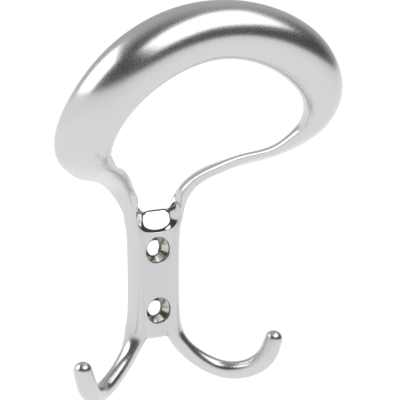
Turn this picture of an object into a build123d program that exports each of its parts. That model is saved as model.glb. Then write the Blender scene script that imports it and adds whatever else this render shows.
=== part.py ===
from build123d import *
import os
from dataclasses import dataclass
from math import cos, radians, sin

# A one-piece cast hat and coat hook for a wall, in millimetres.
# +X is to the right, -Y is away from the wall, +Z is up.
# The origin is on the wall face, midway between the two screw holes.
# Each node is one region of the casting, and neighbours meet face to face.

# ---- Driving dimensions ---------------------------------------------------
# stem
STEM_WIDTH = 18.7  # at the wall, at the waist
STEM_DEPTH = 5.7  # from the wall to the crest of the rounded shoulders
SHOULDER_HALF_WIDTH = 4.7  # half width of the rounded rail on each side
WEB_DEPTH = 5.0  # from the wall to the shallow flat between the shoulders
WEB_LEAN = 0.02  # how much deeper that flat gets for each millimetre further down
FORK_HEIGHT = 26.0  # where the two arms part
HOOK_ROOT = 20.5  # bottom of the web, where the two hooks part

# screw holes, for 5 mm countersunk screws
HOLE_SPACING = 21.5
HOLE_RADIUS = 2.75
HEAD_RADIUS = 4.65
COUNTERBORE = 0.8  # straight part above the cone

# scooped notch between the arms
RIDGE_DROP = 1.4  # the scoop's top ridge is this far below the fork
RIDGE_DEPTH = 2.6  # and this far from the wall
LIP_DROP = 9.2  # the scoop's front lip is this far below the fork
RIDGE_HALF_WIDTH = 4.2
LIP_HALF_WIDTH = 7.6
BACK_SLOPE_DROP = 7.0  # the web's back leaves the wall this far below the fork

# hat loop, measured to the middle of its section
LOOP_HALF_SPAN = 42.0
LOOP_PROJECTION = 46.2
LOOP_RISE = 92.0
BOW_HALF_WIDTH = 10.6  # long half of the section at the crown
BOW_HALF_THICKNESS = 8.7
ARM_HALF_THICKNESS = 1.9

# coat hooks, measured to the middle of the rod
HOOK_HALF_SPAN = 36.4
HOOK_PROJECTION = 21.3
HOOK_DROP = 34.8
ROD_RADIUS = 3.2
TIP_RADIUS = 3.3

QUARTERS = 4  # each elliptical section is drawn as four arcs
BEYOND = 200.0  # larger than the whole hook


@dataclass
class Section:
    """One elliptical section of a rail, on its way from hook tip to crown."""

    side: float  # from the middle plane, right positive
    out: float  # from the wall
    up: float
    wide: float  # half size across the rail, straight forward when lean is 0
    thin: float  # half size the other way
    lean: float  # turn of the wide direction towards the inside of the loop, degrees

    def centre(self):
        return Vector(self.side, -self.out, self.up)

    def mirrored(self):
        return Section(-self.side, self.out, self.up, self.wide, self.thin, self.lean)


def hook_sections():
    """Sections of the coat hook, from the tip back to the foot of the stem."""
    span, out, drop, rod = HOOK_HALF_SPAN, HOOK_PROJECTION, HOOK_DROP, ROD_RADIUS
    return [
        Section(span, out, -0.64 * drop, 0.97 * rod, 0.97 * rod, 0),
        Section(0.95 * span, 0.96 * out, -0.80 * drop, 1.07 * rod, 1.06 * rod, 0),
        Section(0.84 * span, 0.75 * out, -0.95 * drop, 1.02 * rod, 1.01 * rod, 0),
        Section(0.64 * span, 0.43 * out, -drop, 0.90 * rod, 0.97 * rod, 0),
        Section(0.42 * span, 0.23 * out, -0.87 * drop, 0.90 * rod, 0.88 * rod, 0),
    ]


def stem_sections():
    """Sections of a rail along the stem; the wall plane later cuts their backs flat."""
    thin, wide = SHOULDER_HALF_WIDTH, STEM_DEPTH
    side = STEM_WIDTH / 2 - thin
    return [
        Section(side + 5.0, 0.40 * wide, -HOOK_ROOT - 3.8, 0.70 * wide, 0.60 * thin, 0),
        Section(side + 0.8, 0, -0.62 * HOOK_ROOT, wide, 0.90 * thin, 0),
        Section(side, 0, 0.29 * FORK_HEIGHT, wide, thin, 0),
        Section(side + 4.1, 0.35 * wide, FORK_HEIGHT, 0.82 * wide, 0.56 * thin, 17),
    ]


def loop_sections():
    """Sections of the hat loop, from the fork up to the crown on the middle plane."""
    span, out, rise = LOOP_HALF_SPAN, LOOP_PROJECTION, LOOP_RISE - FORK_HEIGHT
    wide, thin, blade = BOW_HALF_WIDTH, BOW_HALF_THICKNESS, ARM_HALF_THICKNESS

    def at(side, forward, up, wide_half, thin_half, lean):
        height = FORK_HEIGHT + up * rise
        return Section(side * span, forward * out, height, wide_half, thin_half, lean)

    return [
        at(0.31, 0.08, 0.10, 0.46 * wide, 1.10 * blade, 21),
        at(0.53, 0.30, 0.22, 0.60 * wide, blade, 25),
        at(0.83, 0.59, 0.32, 0.77 * wide, blade, 32),
        at(1.00, 0.76, 0.45, 0.88 * wide, 0.44 * thin, 43),
        at(0.98, 0.93, 0.645, 0.89 * wide, 0.78 * thin, 43),
        at(0.76, 1.00, 0.83, 0.93 * wide, thin, 36),
        at(0.39, 1.01, 0.96, 0.98 * wide, 1.02 * thin, 28),
        at(0.00, 1.00, 1.00, wide, thin, 24),
    ]


RIGHT = hook_sections() + stem_sections() + loop_sections()
SECTIONS = RIGHT + [section.mirrored() for section in reversed(RIGHT[:-1])]
STEM_START = len(hook_sections())
ARM_START = STEM_START + len(stem_sections())
BOW_START = ARM_START + 3
CROWN = len(RIGHT) - 1


def tangent_at(index):
    """Direction of the rail at a section, weighted towards its nearer neighbour."""
    here = SECTIONS[index].centre()
    if index == 0:
        return (SECTIONS[1].centre() - here).normalized()
    back, ahead = here - SECTIONS[index - 1].centre(), SECTIONS[index + 1].centre() - here
    return (back.normalized() * ahead.length + ahead.normalized() * back.length).normalized()


def outline(index):
    """The section's ellipse as a face, square to the rail."""
    section, tangent = SECTIONS[index], tangent_at(index)
    forward = Vector(0, -1, 0)
    forward = (forward - tangent * forward.dot(tangent)).normalized()
    inward = forward.cross(tangent)
    lean = radians(section.lean)
    across = forward * cos(lean) + inward * sin(lean)
    plane = Plane(origin=section.centre(), x_dir=across, z_dir=tangent)
    quarter = 360 / QUARTERS
    arcs = [
        Edge.make_ellipse(section.wide, section.thin, plane, k * quarter, (k + 1) * quarter)
        for k in range(QUARTERS)
    ]
    return make_face(arcs)


def rail(first, last):
    """The smooth tube between two of the named sections."""
    return loft([outline(index) for index in range(first, last + 1)])


def wall():
    """Everything behind the wall face."""
    return Pos(0, BEYOND / 2, 0) * Box(BEYOND, BEYOND, 2 * BEYOND)


def web_front(height):
    """Distance of the web's front face from the wall at a height."""
    return WEB_DEPTH - WEB_LEAN * height


def web():
    """The plate between the two rails; its top ridge stands forward of the wall."""
    top, bottom = FORK_HEIGHT - RIDGE_DROP, -HOOK_ROOT
    corners = [
        (0, bottom),
        (-web_front(bottom), bottom),
        (-web_front(top), top),
        (-RIDGE_DEPTH, top),
        (0, FORK_HEIGHT - BACK_SLOPE_DROP),
    ]
    profile = make_face(Plane.YZ * Polyline(*corners, close=True))
    return extrude(profile, STEM_WIDTH / 2 - SHOULDER_HALF_WIDTH / 2, both=True)


def notch_outline(out, floor, half_width, corner):
    """A tall outline in a plane parallel to the wall, rounded at its bottom corners."""
    height = LOOP_RISE
    shape = Rectangle(2 * half_width, height)
    bottom_corners = shape.vertices().sort_by(Axis.Y)[:2]
    shape = fillet(bottom_corners, corner)
    return Plane.XZ.offset(out) * Pos(0, floor + height / 2) * shape


def notch():
    """The scoop between the arms: narrow and high at its ridge, wide and low at its lip."""
    ridge, lip = FORK_HEIGHT - RIDGE_DROP, FORK_HEIGHT - LIP_DROP
    run = web_front(lip) - RIDGE_DEPTH
    widening = (LIP_HALF_WIDTH - RIDGE_HALF_WIDTH) / run
    sinking = (ridge - lip) / run
    reach = 2 * run
    far_half_width = RIDGE_HALF_WIDTH + widening * reach
    ridge_outline = notch_outline(RIDGE_DEPTH, ridge, RIDGE_HALF_WIDTH, 0.5 * RIDGE_HALF_WIDTH)
    far_outline = notch_outline(
        RIDGE_DEPTH + reach, ridge - sinking * reach, far_half_width, 0.9 * far_half_width
    )
    return loft([ridge_outline, far_outline])


def screw_hole(height):
    """A countersunk hole square to the wall, with its seat just under the web's face."""
    seat = web_front(height) - COUNTERBORE
    cone = HEAD_RADIUS - HOLE_RADIUS
    profile = Polyline(
        (0, -1),
        (HOLE_RADIUS, -1),
        (HOLE_RADIUS, seat - cone),
        (HEAD_RADIUS, seat),
        (HEAD_RADIUS, 2 * STEM_DEPTH),
        (0, 2 * STEM_DEPTH),
        close=True,
    )
    turned = revolve(make_face(profile), Axis.Y)
    return Pos(0, 0, height) * (Rot(180, 0, 0) * turned)


def mounting_stem():
    """Two rails and the web between them, notched at the top and drilled for two screws."""
    right = rail(STEM_START, ARM_START)
    stem = right + mirror(right, Plane.YZ) + web()
    stem -= notch()
    for height in (HOLE_SPACING / 2, -HOLE_SPACING / 2):
        stem -= screw_hole(height)
    return stem - wall()


def coat_hook():
    """The right-hand coat hook: a bent rod with a ball at its tip."""
    tip = SECTIONS[0].centre()
    rod = rail(0, STEM_START) - wall()
    return rod + Pos(tip.X, tip.Y, tip.Z) * Sphere(TIP_RADIUS)


def arm():
    """The right-hand arm, from the stem out to where the bow starts."""
    return rail(ARM_START, BOW_START) - wall()


def bow():
    """The fat closed bow across the front, from one arm over the crown to the other."""
    past_crown = rail(BOW_START, CROWN + 1)
    half = past_crown - Pos(-BEYOND / 2, 0, 0) * Box(BEYOND, BEYOND, 2 * BEYOND)
    return half + mirror(half, Plane.YZ)


def nodes():
    hook, right_arm = coat_hook(), arm()
    return {
        "mounting_stem": mounting_stem(),
        "right_coat_hook": hook,
        "left_coat_hook": mirror(hook, Plane.YZ),
        "right_loop_arm": right_arm,
        "left_loop_arm": mirror(right_arm, Plane.YZ),
        "hat_loop_bow": bow(),
    }


if __name__ == "__main__":
    os.makedirs("parts", exist_ok=True)
    for name, shape in nodes().items():
        export_step(shape, f"parts/{name}.step")
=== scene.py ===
"""Looks for a one-piece cast hat and coat hook in satin chrome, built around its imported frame."""
import logging
import math
from dataclasses import astuple, dataclass, field
from enum import Enum

import bmesh
import bpy
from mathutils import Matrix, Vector


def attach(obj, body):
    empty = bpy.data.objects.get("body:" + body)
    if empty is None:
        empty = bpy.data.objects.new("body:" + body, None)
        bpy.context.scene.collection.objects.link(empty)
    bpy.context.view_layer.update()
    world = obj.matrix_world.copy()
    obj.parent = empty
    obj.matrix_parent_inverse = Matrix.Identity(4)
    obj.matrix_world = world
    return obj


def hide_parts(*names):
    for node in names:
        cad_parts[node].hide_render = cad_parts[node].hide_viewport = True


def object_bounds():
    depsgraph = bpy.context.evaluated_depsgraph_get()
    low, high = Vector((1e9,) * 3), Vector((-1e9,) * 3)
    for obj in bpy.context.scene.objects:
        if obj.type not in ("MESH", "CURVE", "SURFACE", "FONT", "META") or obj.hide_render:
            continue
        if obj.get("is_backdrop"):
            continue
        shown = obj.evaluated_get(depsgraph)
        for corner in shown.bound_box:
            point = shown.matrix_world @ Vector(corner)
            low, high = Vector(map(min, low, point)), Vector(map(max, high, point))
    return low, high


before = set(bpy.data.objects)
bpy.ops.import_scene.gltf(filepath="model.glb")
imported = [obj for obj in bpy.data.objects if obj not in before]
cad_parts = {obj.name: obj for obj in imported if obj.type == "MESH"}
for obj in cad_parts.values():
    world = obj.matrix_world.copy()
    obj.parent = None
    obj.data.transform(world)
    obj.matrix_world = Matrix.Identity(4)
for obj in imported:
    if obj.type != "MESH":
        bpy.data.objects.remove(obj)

logging.basicConfig(level=logging.INFO, format="%(levelname)s %(message)s")
log = logging.getLogger("hook")

MM = 0.001
RING = 12  # vertices round each ring of the cage
HALF_STEP = math.pi / RING
RING_GROWTH = 1.047  # smoothing pulls a twelve-sided ring in by this much
FULL_POWER = 0.33  # how strongly a section's fullness squares its ellipse
TANGENT_REACH = 0.01  # how far along the rail its direction is measured
LOWER_ROWS = 8  # rows of the stem up to the foot of the upper hole
BACK_START, BACK_END = 3, 7  # a ring's vertices on the stem's flat back, and the next one
HOLE_STEPS = 8  # edges round half of a screw hole
HOLE_GROWTH = 1.026  # smoothing pulls a sixteen-sided ring in by this much
MERGE_REACH = 0.002 * MM
MIRROR_REACH = 0.01 * MM
SMOOTHING_LEVELS = 3
CRISP_ANGLE = math.radians(40)  # edges bent by more than this are shaded sharp
BODY = "root"


class Edge(Enum):
    """How sharp an edge of the casting stays when it is smoothed."""

    SOFT = 0.35
    ROLLED = 0.55
    FIRM = 0.8
    SHARP = 1.0


class Finish(Enum):
    """The materials of the casting, by their place on the piece."""

    PLATED = 0
    BARE = 1
    # painted shade: a near-black metal on the walls of the screw holes, standing in for the shade
    # that falls inside them
    DARK = 2
    POLISHED = 3


@dataclass(frozen=True)
class Section:
    """One elliptical section of a rail, in millimetres and degrees."""

    side: float  # from the middle plane, right positive
    out: float  # from the wall
    up: float
    wide: float  # half size forwards when lean is 0
    thin: float  # half size the other way
    lean: float = 0.0  # turn of the wide direction towards the inside of the loop
    fullness: float = 0.0  # 0 for an ellipse, 1 for flatter faces with rounder corners

    def values(self) -> Vector:
        """Every field as one long vector, so that sections can be blended."""
        return Vector(astuple(self))


def at(side: float, out: float, up: float) -> Vector:
    """A point given as distances to the right, out from the wall and up, in millimetres."""
    return Vector((side, -max(out, 0.0), up)) * MM


class Rail:
    """A smooth tube through named sections, from a hook's tip to the crown of the loop."""

    def __init__(self, sections: list[Section]) -> None:
        """Keeps the sections, with one more before the tip and one past the crown.

        Args:
            sections: the named sections in order; the last lies on the middle plane.
        """
        knots = [section.values() for section in sections]
        past_crown = knots[-2].copy()
        past_crown[0] = -past_crown[0]
        self.knots = [knots[0] * 2 - knots[1], *knots, past_crown]
        self.last = len(sections) - 1

    def section(self, place: float) -> Section:
        """The section at a place along the rail.

        Args:
            place: the number of a named section, or a value between two of them.

        Returns:
            The named section, or a blend on a smooth curve through its neighbours.
        """
        index = max(0, min(int(place), self.last - 1))
        share = place - index
        before, start, end, after = self.knots[index : index + 4]
        spans = [(b - a).xyz.length for a, b in ((before, start), (start, end), (end, after))]
        slopes = [(start - before) / spans[0], (end - start) / spans[1], (after - end) / spans[2]]
        leaving = (slopes[0] * spans[1] + slopes[1] * spans[0]) / (spans[0] + spans[1])
        arriving = (slopes[1] * spans[2] + slopes[2] * spans[1]) / (spans[1] + spans[2])
        square, cube = share * share, share * share * share
        blend = start * (2 * cube - 3 * square + 1) + end * (3 * square - 2 * cube)
        blend += leaving * spans[1] * (cube - 2 * square + share)
        blend += arriving * spans[1] * (cube - square)
        return Section(*blend)

    def centre(self, place: float) -> Vector:
        """Middle of the section at a place, in millimetres with the wall at zero."""
        section = self.section(place)
        return Vector((section.side, -section.out, section.up))

    def tangent(self, place: float) -> Vector:
        """Direction of the rail at a place, from the tip towards the crown."""
        low = max(place - TANGENT_REACH, 0.0)
        high = min(place + TANGENT_REACH, float(self.last))
        return (self.centre(high) - self.centre(low)).normalized()

    def axes(self, place: float) -> tuple[Vector, Vector]:
        """The section's wide direction and its thin direction, which points inwards."""
        tangent = self.tangent(place)
        forward = Vector((0, -1, 0))
        forward = (forward - tangent * forward.dot(tangent)).normalized()
        inward = forward.cross(tangent)
        lean = math.radians(self.section(place).lean)
        across = forward * math.cos(lean) + inward * math.sin(lean)
        through = inward * math.cos(lean) - forward * math.sin(lean)
        return across, through

    def ring(self, place: float, size: float = 1.0, shift: float = 0.0) -> list[Vector]:
        """Where the cage's vertices stand round the section at a place.

        Args:
            place: the place along the rail.
            size: a share of the section's own size.
            shift: how far the ring is moved back along the rail, in millimetres.

        Returns:
            Twelve points in metres, the first at the front and turning inwards.
        """
        section, centre = self.section(place), self.centre(place)
        across, through = self.axes(place)
        centre -= self.tangent(place) * shift
        power = -FULL_POWER * section.fullness
        reach = RING_GROWTH * size
        points = []
        for step in range(RING):
            angle = HALF_STEP * (2 * step + 1)
            wide, thin = math.cos(angle), math.sin(angle)
            wide *= abs(wide) ** power
            thin *= abs(thin) ** power
            point = centre + across * (section.wide * wide * reach)
            point += through * (section.thin * thin * reach)
            points.append(at(point.x, -point.y, point.z))
        return points


class Cage:
    """A coarse mesh grown by extruding chains of edges and moving their vertices into place."""

    def __init__(
        self, name: str, ring: list[Vector], finishes: list[bpy.types.Material]
    ) -> None:
        """Starts the cage as one ring of edges.

        Args:
            name: the piece's name.
            ring: where the ring's vertices stand.
            finishes: the piece's materials; faces take the first unless they are dressed.
        """
        bpy.ops.object.select_all(action="DESELECT")
        middle = sum(ring, Vector()) / len(ring)
        radius = (ring[0] - middle).length
        bpy.ops.mesh.primitive_circle_add(vertices=len(ring), radius=radius, location=middle)
        self.piece = bpy.context.object
        self.piece.name = self.piece.data.name = name
        for finish in finishes:
            self.piece.data.materials.append(finish)
        bpy.ops.object.transform_apply(location=True, rotation=True, scale=True)
        bpy.ops.object.mode_set(mode="EDIT")
        bpy.ops.mesh.select_mode(type="VERT")
        self.start = list(range(len(ring)))
        self.place(self.start, ring)

    def mesh(self) -> bmesh.types.BMesh:
        """The mesh in edit mode, ready to be read by index."""
        mesh = bmesh.from_edit_mesh(self.piece.data)
        mesh.verts.ensure_lookup_table()
        mesh.edges.ensure_lookup_table()
        return mesh

    def place(self, vertices: list[int], points: list[Vector]) -> None:
        """Moves each vertex to its point.

        Args:
            vertices: the vertices' numbers.
            points: where they go, in the same order.
        """
        for vertex, point in zip(vertices, points, strict=True):
            self.select_vertices([vertex])
            here = self.mesh().verts[vertex].co
            bpy.ops.transform.translate(value=point - here)

    def select_vertices(self, vertices: list[int]) -> None:
        """Selects only these vertices.

        Args:
            vertices: the vertices' numbers.
        """
        bpy.ops.mesh.select_mode(type="VERT")
        bpy.ops.mesh.select_all(action="DESELECT")
        mesh = self.mesh()
        for vertex in vertices:
            mesh.verts[vertex].select_set(True)
        mesh.select_flush_mode()
        bmesh.update_edit_mesh(self.piece.data)

    def select_chain(self, chain: list[int], closed: bool = False) -> None:
        """Selects only the edges that join a chain of vertices.

        Args:
            chain: the vertices' numbers in order.
            closed: whether the last vertex is joined to the first.
        """
        bpy.ops.mesh.select_mode(type="EDGE")
        bpy.ops.mesh.select_all(action="DESELECT")
        mesh = self.mesh()
        ends = chain[1:] + chain[:1] if closed else chain[1:]
        for first, second in zip(chain, ends):
            mesh.edges.get((mesh.verts[first], mesh.verts[second])).select_set(True)
        mesh.select_flush_mode()
        bmesh.update_edit_mesh(self.piece.data)

    def extrude(
        self, chain: list[int], points: list[Vector], closed: bool = False
    ) -> list[int]:
        """Extrudes a chain of edges, or a single vertex, and places the new vertices.

        Args:
            chain: the vertices' numbers in order.
            points: where the new vertices go, in the same order.
            closed: whether the chain is a ring.

        Returns:
            The new vertices' numbers, in the chain's order.
        """
        if len(chain) == 1:
            self.select_vertices(chain)
        else:
            self.select_chain(chain, closed)
        count = len(self.mesh().verts)
        bpy.ops.mesh.extrude_region_move()
        mesh = self.mesh()
        mesh.verts.index_update()
        grown = range(count, len(mesh.verts))
        made = [
            min(grown, key=lambda new: (mesh.verts[new].co - mesh.verts[old].co).length_squared)
            for old in chain
        ]
        self.place(made, points)
        return made

    def fill(self, vertices: list[int]) -> None:
        """Closes an outline with one face.

        Args:
            vertices: the outline's vertices.
        """
        self.select_vertices(vertices)
        bpy.ops.mesh.edge_face_add()

    def crease(self, chain: list[int], edge: Edge) -> None:
        """Keeps a chain of edges sharp when the cage is smoothed.

        Args:
            chain: the vertices' numbers in order.
            edge: how sharp the edges stay.
        """
        self.select_chain(chain)
        bpy.ops.transform.edge_crease(value=edge.value)

    def dress(self, vertices: list[int], finish: Finish) -> None:
        """Gives a material to the faces between these vertices.

        Args:
            vertices: every vertex of those faces.
            finish: which of the piece's materials they take.
        """
        self.select_vertices(vertices)
        self.piece.active_material_index = finish.value
        bpy.ops.object.material_slot_assign()

    def finish(self, levels: int) -> bpy.types.Object:
        """Mirrors the half cage, smooths it and leaves edit mode.

        Args:
            levels: how many times the cage is divided.

        Returns:
            The finished piece.
        """
        bpy.ops.mesh.select_mode(type="VERT")
        bpy.ops.mesh.select_all(action="SELECT")
        bpy.ops.mesh.remove_doubles(threshold=MERGE_REACH)
        bpy.ops.object.mode_set(mode="OBJECT")
        mirror = self.piece.modifiers.new("Mirror", "MIRROR")
        mirror.use_clip = True
        mirror.merge_threshold = MIRROR_REACH
        bpy.ops.object.modifier_apply(modifier=mirror.name)
        bpy.ops.object.mode_set(mode="EDIT")
        bpy.ops.mesh.select_all(action="SELECT")
        bpy.ops.mesh.normals_make_consistent(inside=False)
        bpy.ops.object.mode_set(mode="OBJECT")
        smoothing = self.piece.modifiers.new("Smoothing", "SUBSURF")
        smoothing.levels = smoothing.render_levels = levels
        bpy.ops.object.modifier_apply(modifier=smoothing.name)
        bpy.ops.object.shade_smooth_by_angle(angle=CRISP_ANGLE)
        return self.piece


@dataclass
class CoatHook:
    """One coat hook: a bent rod with a rounded end."""

    tip_radius: float = 3.42
    rod: list[Section] = field(
        default_factory=lambda: [
            Section(36.4, 21.3, -22.3, 3.15, 3.15),
            Section(34.6, 20.4, -27.8, 3.42, 3.39),
            Section(30.6, 16.0, -33.1, 3.26, 3.23),
            Section(23.3, 9.2, -34.8, 2.88, 3.10),
            Section(15.3, 4.9, -30.3, 2.88, 2.82),
        ]
    )
    places: tuple[float, ...] = (  # along the rail, one for each ring
        0.0, 0.5, 1.0, 1.45, 1.9, 2.35, 2.8, 3.3, 3.8, 4.25, 4.65, 5.0,
    )
    dome: tuple[float, ...] = (80.0, 56.0, 29.0)  # latitudes of the end's rings, degrees

    def rows(self, rail: Rail) -> list[list[Vector]]:
        """The rings of the hook, from the rounded end back to the foot of the stem.

        Args:
            rail: the whole rail that the hook starts.

        Returns:
            One list of points for each ring.
        """
        rows = []
        for angle in self.dome:
            turn = math.radians(angle)
            size = self.tip_radius / self.rod[0].wide * math.cos(turn)
            rows.append(rail.ring(0.0, size, self.tip_radius * math.sin(turn)))
        return rows + [rail.ring(place) for place in self.places]


@dataclass
class HatLoop:
    """The hat loop: two arms that twist out from the fork and swell into a closed bow."""

    arm: list[Section] = field(
        default_factory=lambda: [
            Section(13.0, 3.7, 32.6, 4.9, 2.1, 21, 0.6),
            Section(22.3, 13.9, 40.5, 6.4, 1.9, 25, 1.0),
            Section(34.9, 27.3, 47.1, 8.2, 1.9, 32, 0.8),
        ]
    )
    bow: list[Section] = field(
        default_factory=lambda: [
            Section(42.0, 35.1, 55.7, 9.3, 3.8, 43, 0.3),
            Section(41.2, 43.0, 68.6, 9.4, 6.8, 43),
            Section(31.9, 46.2, 80.8, 9.9, 8.7, 36),
            Section(16.4, 46.7, 89.4, 10.4, 8.9, 28),
            Section(0.0, 46.2, 92.0, 10.6, 8.7, 24),
        ]
    )
    places: tuple[float, ...] = (  # along the rail, one for each ring
        8.35, 8.75, 9.15, 9.5, 9.85, 10.2, 10.5, 10.8, 11.1, 11.45, 11.8, 12.2, 12.6,
        13.0, 13.4, 13.8, 14.2, 14.6, 15.0, 15.4, 15.7, 16.0,
    )

    def rows(self, rail: Rail) -> list[list[Vector]]:
        """The rings of the loop, from just above the fork to the crown.

        Args:
            rail: the whole rail that the loop ends.

        Returns:
            One list of points for each ring, the last flat on the middle plane.
        """
        rows = [rail.ring(place) for place in self.places]
        rows[-1] = [Vector((0.0, point.y, point.z)) for point in rows[-1]]
        return rows


@dataclass(frozen=True)
class StemRow:
    """One row of the cage across the stem, in millimetres."""

    up: float
    half_width: float
    inner: float = 5.3  # where the shoulder meets the web, from the middle plane
    crest: float = 5.45  # how far the shoulder stands out from the wall
    back: float = 4.2  # where the row starts on the flat back
    rise: float = 0.0  # how much higher the row is at its outer edge


@dataclass
class MountingStem:
    """The stem: two rounded shoulders, the web between them, two screw holes and the notch."""

    rail: list[Section] = field(
        default_factory=lambda: [
            Section(9.65, 2.3, -24.3, 4.0, 2.8),
            Section(5.45, 0.0, -12.7, 5.7, 4.2),
            Section(4.65, 0.0, 7.5, 5.7, 4.7),
            Section(8.75, 2.0, 26.0, 4.7, 2.6, 17),
        ]
    )
    arch: StemRow = StemRow(-20.5, 11.2, inner=3.9, back=3.9, rise=1.2)
    stem_rows: tuple[StemRow, ...] = (
        StemRow(-16.35, 10.05, rise=0.5),
        StemRow(-13.55, 9.75),
        StemRow(-10.75, 9.5),
        StemRow(-7.95, 9.4),
        StemRow(-5.15, 9.34),
        StemRow(0.0, 9.32),
        StemRow(5.15, 9.33),
        StemRow(7.95, 9.36),
        StemRow(10.75, 9.42),
        StemRow(13.55, 9.53, inner=5.7, crest=5.4),
        StemRow(18.1, 9.75, inner=6.1, crest=5.35, rise=-1.0),
        StemRow(20.7, 10.15, inner=7.9, crest=5.4, rise=-0.8),
    )
    shoulder: tuple[tuple[int, float, float], ...] = (  # vertex, share across, share out
        (2, 0.0, 0.93),
        (1, 0.15, 0.968),
        (0, 0.32, 1.0),
        (11, 0.50, 0.975),
        (10, 0.69, 0.86),
        (9, 0.87, 0.61),
        (8, 0.985, 0.30),
        (7, 1.0, 0.0),
    )
    web_depth: float = 5.0
    web_lean: float = 0.02
    hole_spacing: float = 21.5
    head_radius: float = 4.65
    hole_radius: float = 2.75
    rim_roll: float = 0.2
    counterbore: float = 1.0
    lip_height: float = 16.75
    lip_halfway: float = 3.1
    lip_lift: float = 0.25  # how much higher the lip is half way out
    ridge: StemRow = StemRow(24.0, 10.95, inner=8.3, crest=5.5, rise=-0.8)
    ridge_back: tuple[tuple[float, float, float], ...] = (
        (4.3, 2.6, 24.6),
        (5.6, 0.8, 24.1),
        (7.2, 0.0, 23.9),
        (9.1, 0.0, 23.6),
    )
    wall_foot: tuple[tuple[float, float, float], ...] = (
        (6.3, 3.6, 21.9),
        (5.3, 3.95, 19.2),
        (2.8, 4.15, 18.05),
        (0.0, 4.2, 17.85),
    )
    floor_middle: tuple[tuple[float, float, float], ...] = (
        (5.1, 3.2, 22.5),
        (2.5, 3.4, 21.3),
        (0.0, 3.4, 21.1),
    )

    def row(self, row: StemRow) -> list[Vector]:
        """Where the cage's vertices stand across one half of the stem.

        Args:
            row: the row's sizes.

        Returns:
            Twelve points in the same order as a ring of the rail.
        """
        points = [Vector()] * RING
        width = row.half_width - row.inner
        for step, across, depth in self.shoulder:
            height = row.up + row.rise * across
            points[step] = at(row.inner + across * width, depth * row.crest, height)
        steps = range(BACK_START, BACK_END)
        for step in steps:
            share = (step - BACK_START) / len(steps)
            side = row.back + share * (row.half_width - row.back)
            points[step] = at(side, 0.0, row.up + row.rise * share)
        return points

    def ridge_row(self) -> list[Vector]:
        """The row at the top of the notch, where the two arms part."""
        points = self.row(self.ridge)
        points[BACK_START:BACK_END] = [at(*place) for place in self.ridge_back]
        return points

    def web_front(self, height: float) -> float:
        """Distance of the web's front face from the wall at a height, in millimetres."""
        return self.web_depth - self.web_lean * height

    def circle(self, height: float, radius: float, depth: float | None) -> list[Vector]:
        """The right half of a circle round a screw hole, from its bottom to its top.

        Args:
            height: the hole's height.
            radius: the circle's radius.
            depth: the circle's distance from the wall, or None to lie on the web's face.

        Returns:
            One point for each vertex of the half circle.
        """
        points = []
        for step in range(HOLE_STEPS + 1):
            angle = math.pi * (step / HOLE_STEPS - 0.5)
            side = radius * HOLE_GROWTH * math.cos(angle)
            up = height + radius * HOLE_GROWTH * math.sin(angle)
            out = self.web_front(up) if depth is None else depth
            points.append(at(0.0 if step in (0, HOLE_STEPS) else side, out, up))
        return points

    def grow(self, cage: Cage, ring: list[int]) -> list[int]:
        """Grows the stem on from the last ring of the hook.

        Args:
            cage: the cage that holds the hook.
            ring: the hook's last ring.

        Returns:
            The ring at the top of the notch, ready for the arm.
        """
        arch = cage.extrude(ring, self.row(self.arch), closed=True)
        order = [*range(BACK_START, RING), *range(BACK_START)]
        rows = [[arch[step] for step in order]]
        for points in [*map(self.row, self.stem_rows), self.ridge_row()]:
            rows.append(cage.extrude(rows[-1], [points[step] for step in order]))
        cage.crease([row[order.index(BACK_END)] for row in rows], Edge.SHARP)
        self.close_web(cage, rows)
        return [rows[-1][order.index(step)] for step in range(RING)]

    def close_web(self, cage: Cage, rows: list[list[int]]) -> None:
        """Joins the shoulders across the middle with the web, its holes and its notch.

        Args:
            cage: the cage that holds the shoulders.
            rows: the rows from the arch up to the ridge, each from its back to its front.
        """
        arch, low, *lower_sides, below, middle, above = rows[:LOWER_ROWS]
        *upper_sides, lip, upper, ridge = rows[LOWER_ROWS:]
        front = self.columns(cage, [arch[-1], low[-1]], front=True)
        back = self.columns(cage, [arch[0], low[0]], front=False)
        for inner, outer in ((0, 1), (1, 2)):
            cage.fill([front[inner][0], front[outer][0], back[inner][0], back[outer][0]])
            cage.crease([front[inner][0], front[outer][0]], Edge.ROLLED)
            cage.crease([back[inner][0], back[outer][0]], Edge.SHARP)
        front_middle = self.columns(cage, [below[-1], middle[-1], above[-1]], front=True)
        back_middle = self.columns(cage, [below[0], middle[0], above[0]], front=False)
        lip_front = self.lip(cage, lip[-1])
        back_top = self.columns(cage, [lip[0], upper[0], ridge[0]], front=False)
        tops = [[column[-1] for column in columns] for columns in (front, back)]
        feet = [[column[0] for column in columns] for columns in (front_middle, back_middle)]
        self.bore(
            cage,
            -self.hole_spacing / 2,
            tops[0][::-1] + [row[-1] for row in lower_sides] + feet[0],
            tops[1][::-1] + [row[0] for row in lower_sides] + feet[1],
        )
        tops = [[column[-1] for column in columns] for columns in (front_middle, back_middle)]
        feet = [lip_front, [column[0] for column in back_top]]
        self.bore(
            cage,
            self.hole_spacing / 2,
            tops[0][::-1] + [row[-1] for row in upper_sides] + feet[0],
            tops[1][::-1] + [row[0] for row in upper_sides] + feet[1],
        )
        self.scoop(cage, [upper[-1], *lip_front], [column[-1] for column in back_top], ridge)

    def columns(self, cage: Cage, side: list[int], front: bool) -> list[list[int]]:
        """Grows the web inwards from one side in two columns, the second on the middle plane.

        Args:
            cage: the cage.
            side: the vertices at the side, from the lowest up.
            front: whether this is the web's front face or its back.

        Returns:
            The side itself and the two new columns.
        """
        places = [cage.mesh().verts[vertex].co.copy() for vertex in side]
        half, middle = [], []
        for place in places:
            up, out = place.z / MM, -place.y / MM
            depth = self.web_front(up) if front else out
            half.append(at(place.x / MM / 2, depth, up))
            middle.append(at(0.0, depth, up))
        halfway = cage.extrude(side, half)
        return [side, halfway, cage.extrude(halfway, middle)]

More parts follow.
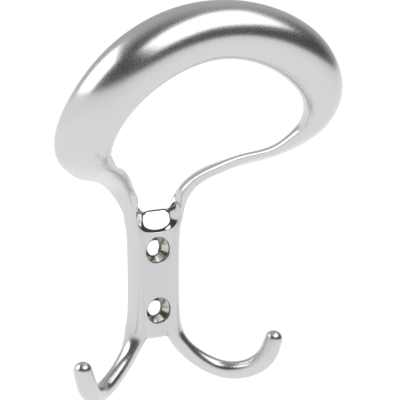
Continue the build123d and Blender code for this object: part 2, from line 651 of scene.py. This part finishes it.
    def lip(self, cage: Cage, side: int) -> list[int]:
        """Draws the front lip of the notch from the shoulder to the middle plane.

        Args:
            cage: the cage.
            side: the vertex where the lip meets the shoulder.

        Returns:
            The side vertex and the two new ones.
        """
        depth = self.web_front(self.lip_height)
        lifted = self.lip_height + self.lip_lift
        halfway = cage.extrude([side], [at(self.lip_halfway, depth, lifted)])
        middle = cage.extrude(halfway, [at(0.0, depth, self.lip_height)])
        return [side, *halfway, *middle]

    def bore(self, cage: Cage, height: float, front: list[int], back: list[int]) -> None:
        """Makes one countersunk screw hole through the web.

        Args:
            cage: the cage.
            height: the hole's height.
            front: the outline of the opening in the web's front, from its bottom to its top.
            back: the outline of the opening in the web's back.
        """
        face = self.web_front(height)
        head = self.head_radius - self.rim_roll / 2
        seat = face - self.counterbore
        neck = seat - (head - self.hole_radius)
        rim = cage.extrude(front, self.circle(height, self.head_radius + self.rim_roll / 2, None))
        roll = cage.extrude(rim, self.circle(height, head, face - self.rim_roll))
        step = cage.extrude(roll, self.circle(height, head, seat))
        cone = cage.extrude(step, self.circle(height, self.hole_radius, neck))
        end = cage.extrude(cone, self.circle(height, self.hole_radius, 0.0))
        # the walls of the counterbore and of the bore take near-black metal, painted shade of the
        # hole's inside; the seat between them takes bare nickel
        cage.dress([*roll, *step], Finish.DARK)
        cage.dress([*step, *cone], Finish.BARE)
        cage.dress([*cone, *end], Finish.DARK)
        far = cage.extrude(back, self.circle(height, self.hole_radius, 0.0))
        for chain in (rim, roll):
            cage.crease(chain, Edge.FIRM)
        for chain in (step, cone, far):
            cage.crease(chain, Edge.SHARP)

    def scoop(self, cage: Cage, lip: list[int], top: list[int], ridge: list[int]) -> None:
        """Hollows the notch between the arms: a short wall under its lip, then a sloping floor.

        Args:
            cage: the cage.
            lip: the front lip, from half way up the shoulder to the middle plane.
            top: the ridge of the web, from the shoulder to the middle plane.
            ridge: the row of the stem at the ridge, from its back to its front.
        """
        foot = cage.extrude(lip, [at(*place) for place in self.wall_foot])
        floor = cage.extrude(foot[1:], [at(*place) for place in self.floor_middle])
        for outer in range(2):
            cage.fill([floor[outer], floor[outer + 1], top[outer], top[outer + 1]])
        cage.fill([foot[0], foot[1], floor[0], top[0]])
        cage.fill([lip[0], ridge[-1], top[0], foot[0]])
        cage.dress([*lip, *foot, *floor, *top, ridge[-1]], Finish.POLISHED)
        cage.crease([ridge[-1], *lip], Edge.FIRM)
        cage.crease(foot, Edge.SOFT)
        cage.crease(top, Edge.ROLLED)


@dataclass
class HookCasting:
    """The whole hook: one casting from the crown of the loop to the tips of the hooks."""

    hook: CoatHook = field(default_factory=CoatHook)
    stem: MountingStem = field(default_factory=MountingStem)
    loop: HatLoop = field(default_factory=HatLoop)

    def build(self) -> bpy.types.Object:
        """Grows one half as a cage, then mirrors and smooths it.

        Returns:
            The finished piece.
        """
        rail = Rail(self.hook.rod + self.stem.rail + self.loop.arm + self.loop.bow)
        rows = self.hook.rows(rail)
        finishes = [FINISHES[finish].material() for finish in Finish]
        cage = Cage("hook_casting", rows[0], finishes)
        ring = cage.start
        for points in rows[1:]:
            ring = cage.extrude(ring, points, closed=True)
        cage.fill(cage.start)
        ring = self.stem.grow(cage, ring)
        for points in self.loop.rows(rail):
            ring = cage.extrude(ring, points, closed=True)
        return cage.finish(SMOOTHING_LEVELS)


@dataclass(frozen=True)
class Grain:
    """The satin grain that every finish has, as one shader node group."""

    name: str = "satin_grain"
    detail: float = 2.0
    smoothest: float = 0.3  # the noise runs mostly between these two
    roughest: float = 0.7

    def group(self) -> bpy.types.NodeTree:
        """Makes the group the first time it is asked for.

        Returns:
            The group, with inputs for its scale, height and roughness, and outputs for the
            roughness and the normal.
        """
        if self.name in bpy.data.node_groups:
            return bpy.data.node_groups[self.name]
        group = bpy.data.node_groups.new(self.name, "ShaderNodeTree")
        for label in ("Scale", "Height", "Roughness", "Spread"):
            group.interface.new_socket(label, in_out="INPUT", socket_type="NodeSocketFloat")
        for label, kind in (("Roughness", "NodeSocketFloat"), ("Normal", "NodeSocketVector")):
            group.interface.new_socket(label, in_out="OUTPUT", socket_type=kind)
        nodes, links = group.nodes, group.links
        given, made = nodes.new("NodeGroupInput"), nodes.new("NodeGroupOutput")
        place = nodes.new("ShaderNodeTexCoord")
        noise = nodes.new("ShaderNodeTexNoise")
        noise.inputs["Detail"].default_value = self.detail
        links.new(place.outputs["Object"], noise.inputs["Vector"])
        links.new(given.outputs["Scale"], noise.inputs["Scale"])
        swing = nodes.new("ShaderNodeMapRange")
        swing.inputs["From Min"].default_value = self.smoothest
        swing.inputs["From Max"].default_value = self.roughest
        swing.inputs["To Min"].default_value = -1.0
        links.new(noise.outputs["Fac"], swing.inputs["Value"])
        rough = nodes.new("ShaderNodeMath")
        rough.operation = "MULTIPLY_ADD"
        links.new(swing.outputs["Result"], rough.inputs[0])
        links.new(given.outputs["Spread"], rough.inputs[1])
        links.new(given.outputs["Roughness"], rough.inputs[2])
        links.new(rough.outputs["Value"], made.inputs["Roughness"])
        bump = nodes.new("ShaderNodeBump")
        links.new(given.outputs["Height"], bump.inputs["Distance"])
        links.new(noise.outputs["Fac"], bump.inputs["Height"])
        links.new(bump.outputs["Normal"], made.inputs["Normal"])
        return group


@dataclass(frozen=True)
class SatinMetal:
    """Plated metal blasted to a fine satin grain."""

    name: str
    colour: tuple[float, float, float]
    roughness: float
    roughness_spread: float
    grain_per_metre: float
    grain_height: float  # metres

    def material(self) -> bpy.types.Material:
        """Makes the finish as a material with its own values of the grain."""
        material = bpy.data.materials.new(self.name)
        material.use_nodes = True
        nodes, links = material.node_tree.nodes, material.node_tree.links
        shader = nodes["Principled BSDF"]
        shader.inputs["Metallic"].default_value = 1.0
        shader.inputs["Base Color"].default_value = (*self.colour, 1.0)
        grain = nodes.new("ShaderNodeGroup")
        grain.node_tree = Grain().group()
        grain.inputs["Scale"].default_value = self.grain_per_metre
        grain.inputs["Height"].default_value = self.grain_height
        grain.inputs["Roughness"].default_value = self.roughness
        grain.inputs["Spread"].default_value = self.roughness_spread
        links.new(grain.outputs["Roughness"], shader.inputs["Roughness"])
        links.new(grain.outputs["Normal"], shader.inputs["Normal"])
        return material


SATIN_CHROME = SatinMetal(
    "satin_chrome", (0.61, 0.61, 0.62),
    roughness=0.27, roughness_spread=0.03, grain_per_metre=2600.0, grain_height=1e-6,
)
BARE_NICKEL = SatinMetal(
    "bare_nickel", (0.58, 0.555, 0.515),
    roughness=0.2, roughness_spread=0.03, grain_per_metre=1800.0, grain_height=2e-6,
)
# painted shade: a near-black metal that stands in for the shade inside the screw holes
PAINTED_SHADE_METAL = SatinMetal(
    "painted_shade_metal", (0.10, 0.095, 0.085),
    roughness=0.45, roughness_spread=0.05, grain_per_metre=1800.0, grain_height=6e-6,
)
BRIGHT_CHROME = SatinMetal(
    "bright_chrome", (0.62, 0.62, 0.63),
    roughness=0.12, roughness_spread=0.02, grain_per_metre=2600.0, grain_height=5e-7,
)
FINISHES = {
    Finish.PLATED: SATIN_CHROME,
    Finish.BARE: BARE_NICKEL,
    Finish.DARK: PAINTED_SHADE_METAL,
    Finish.POLISHED: BRIGHT_CHROME,
}


@dataclass(frozen=True)
class Softbox:
    """One soft light, placed by its direction from the hook and facing it."""

    name: str
    azimuth: float  # 0 in front of the wall, 90 to the right, degrees
    elevation: float  # degrees
    distance: float  # metres, like the sizes
    width: float
    height: float
    radiance: float
    spread: float = 180.0  # narrower behind a grid, degrees
    target: tuple[float, float, float] = (0.0, -0.03, 0.06)

    def share(self) -> float:
        """The share of an open softbox's power that comes through the grid."""
        half = math.radians(self.spread) / 2
        edge = math.pi / 2 - half
        return 1.0 - half * math.tan(edge)

    def hang(self) -> bpy.types.Object:
        """Adds the light to the scene and returns it."""
        turn, rise = math.radians(self.azimuth), math.radians(self.elevation)
        away = Vector((
            math.sin(turn) * math.cos(rise), -math.cos(turn) * math.cos(rise), math.sin(rise)
        ))
        data = bpy.data.lights.new(self.name, "AREA")
        data.shape, data.size, data.size_y = "RECTANGLE", self.width, self.height
        data.energy = self.radiance * math.pi * self.width * self.height * self.share()
        data.spread = math.radians(self.spread)
        light = bpy.data.objects.new(self.name, data)
        bpy.context.collection.objects.link(light)
        light.location = away * self.distance + Vector(self.target)
        light.rotation_mode = "QUATERNION"
        light.rotation_quaternion = (-away).to_track_quat("-Z", "Y")
        light.visible_camera = False
        return light


@dataclass
class Studio:
    """A pale floor, soft lights, a dim room and the camera."""

    floor_drop: float = 0.25
    floor_size: float = 30.0
    floor_glow: float = 0.97
    floor_colour: float = 0.15
    floor_roughness: float = 0.9
    room_dark: float = 0.06
    room_back: float = 0.55
    back_starts: float = -0.1  # how far behind the wall's plane the room gets lighter
    back_full: float = 0.6
    room_glow: float = 1.0
    glow_height: float = 0.10  # how high the glow of the floor reaches up the room's sides
    glow_tilt: float = -0.17  # and how much lower it is on the right than on the left
    glow_soften: float = 0.16
    camera_place: tuple[float, float, float] = (-0.27665, -0.54848, 0.17660)
    camera_aim: tuple[float, float, float] = (0.01203, -0.00093, 0.01901)
    camera_shift: tuple[float, float] = (0.04, 0.05)
    lens: float = 166.2  # millimetres, like the sensor
    sensor: float = 36.0
    lights: tuple[Softbox, ...] = (
        Softbox(
            "left_softbox", azimuth=-118, elevation=36, distance=1.3,
            width=1.1, height=0.8, radiance=2.5,
        ),
        Softbox(
            "overhead_softbox", azimuth=35, elevation=59, distance=1.3,
            width=1.6, height=1.0, radiance=2.1,
        ),
        Softbox(
            "notch_light", azimuth=27, elevation=9, distance=0.1,
            width=0.06, height=0.026, radiance=3.2,
            spread=44.0, target=(0.0, -0.003, 0.021),
        ),
    )

    def floor(self) -> bpy.types.Object:
        """Lays the glowing white floor well below the hook and returns it."""
        low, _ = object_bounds()
        bpy.ops.object.select_all(action="DESELECT")
        bpy.ops.mesh.primitive_plane_add(
            size=self.floor_size, location=(0.0, 0.0, low.z - self.floor_drop)
        )
        floor = bpy.context.object
        floor.name = "floor"
        material = bpy.data.materials.new("pale_floor")
        material.use_nodes = True
        shader = material.node_tree.nodes["Principled BSDF"]
        shader.inputs["Base Color"].default_value = (*[self.floor_colour] * 3, 1.0)
        shader.inputs["Roughness"].default_value = self.floor_roughness
        shader.inputs["Emission Color"].default_value = (1.0, 1.0, 1.0, 1.0)
        shader.inputs["Emission Strength"].default_value = self.floor_glow
        floor.data.materials.append(material)
        floor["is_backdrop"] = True
        return floor

    def room(self) -> None:
        """Makes the room: a glow low down, darkness in front and a mid grey behind.

        What the camera sees past the floor is plain white.
        """
        world = bpy.data.worlds.new("room")
        world.use_nodes = True
        nodes, links = world.node_tree.nodes, world.node_tree.links
        direction = nodes.new("ShaderNodeTexCoord")
        split = nodes.new("ShaderNodeSeparateXYZ")
        links.new(direction.outputs["Generated"], split.inputs["Vector"])
        back = nodes.new("ShaderNodeMapRange")
        back.interpolation_type = "SMOOTHSTEP"
        back.inputs["From Min"].default_value = self.back_starts
        back.inputs["From Max"].default_value = self.back_full
        back.inputs["To Min"].default_value = self.room_dark
        back.inputs["To Max"].default_value = self.room_back
        links.new(split.outputs["Y"], back.inputs["Value"])
        level = nodes.new("ShaderNodeMath")
        level.operation = "MULTIPLY_ADD"
        level.inputs[1].default_value = -self.glow_tilt
        links.new(split.outputs["X"], level.inputs[0])
        links.new(split.outputs["Z"], level.inputs[2])
        glow = nodes.new("ShaderNodeMapRange")
        glow.interpolation_type = "SMOOTHSTEP"
        glow.inputs["From Min"].default_value = self.glow_height - self.glow_soften / 2
        glow.inputs["From Max"].default_value = self.glow_height + self.glow_soften / 2
        glow.inputs["To Min"].default_value = 1.0
        glow.inputs["To Max"].default_value = 0.0
        links.new(level.outputs["Value"], glow.inputs["Value"])
        mix = nodes.new("ShaderNodeMix")
        mix.inputs["B"].default_value = self.room_glow
        links.new(glow.outputs["Result"], mix.inputs["Factor"])
        links.new(back.outputs["Result"], mix.inputs["A"])
        path = nodes.new("ShaderNodeLightPath")
        seen = nodes.new("ShaderNodeMix")
        seen.inputs["B"].default_value = 1.0
        links.new(path.outputs["Is Camera Ray"], seen.inputs["Factor"])
        links.new(mix.outputs["Result"], seen.inputs["A"])
        links.new(seen.outputs["Result"], nodes["Background"].inputs["Strength"])
        nodes["Background"].inputs["Color"].default_value = (1.0, 1.0, 1.0, 1.0)
        bpy.context.scene.world = world

    def camera(self) -> None:
        """Stands the camera to the left of the hook and a little above it."""
        data = bpy.data.cameras.new("camera")
        data.lens, data.sensor_width = self.lens, self.sensor
        data.shift_x, data.shift_y = self.camera_shift
        camera = bpy.data.objects.new("camera", data)
        bpy.context.collection.objects.link(camera)
        camera.location = self.camera_place
        aim = Vector(self.camera_aim) - Vector(self.camera_place)
        camera.rotation_mode = "QUATERNION"
        camera.rotation_quaternion = aim.to_track_quat("-Z", "Y")
        bpy.context.scene.camera = camera

    def build(self) -> None:
        """Sets up the floor, the lights, the room and the camera."""
        log.info("%s laid", self.floor().name)
        for softbox in self.lights:
            log.info("%s hung", softbox.hang().name)
        self.room()
        self.camera()
        bpy.context.scene.view_settings.view_transform = "Standard"


def main() -> None:
    """Builds the hook and its studio in order."""
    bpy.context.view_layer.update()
    piece = HookCasting().build()
    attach(piece, BODY)
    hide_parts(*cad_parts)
    log.info("%s: %d faces", piece.name, len(piece.data.polygons))
    Studio().build()


if __name__ == "__main__":
    main()
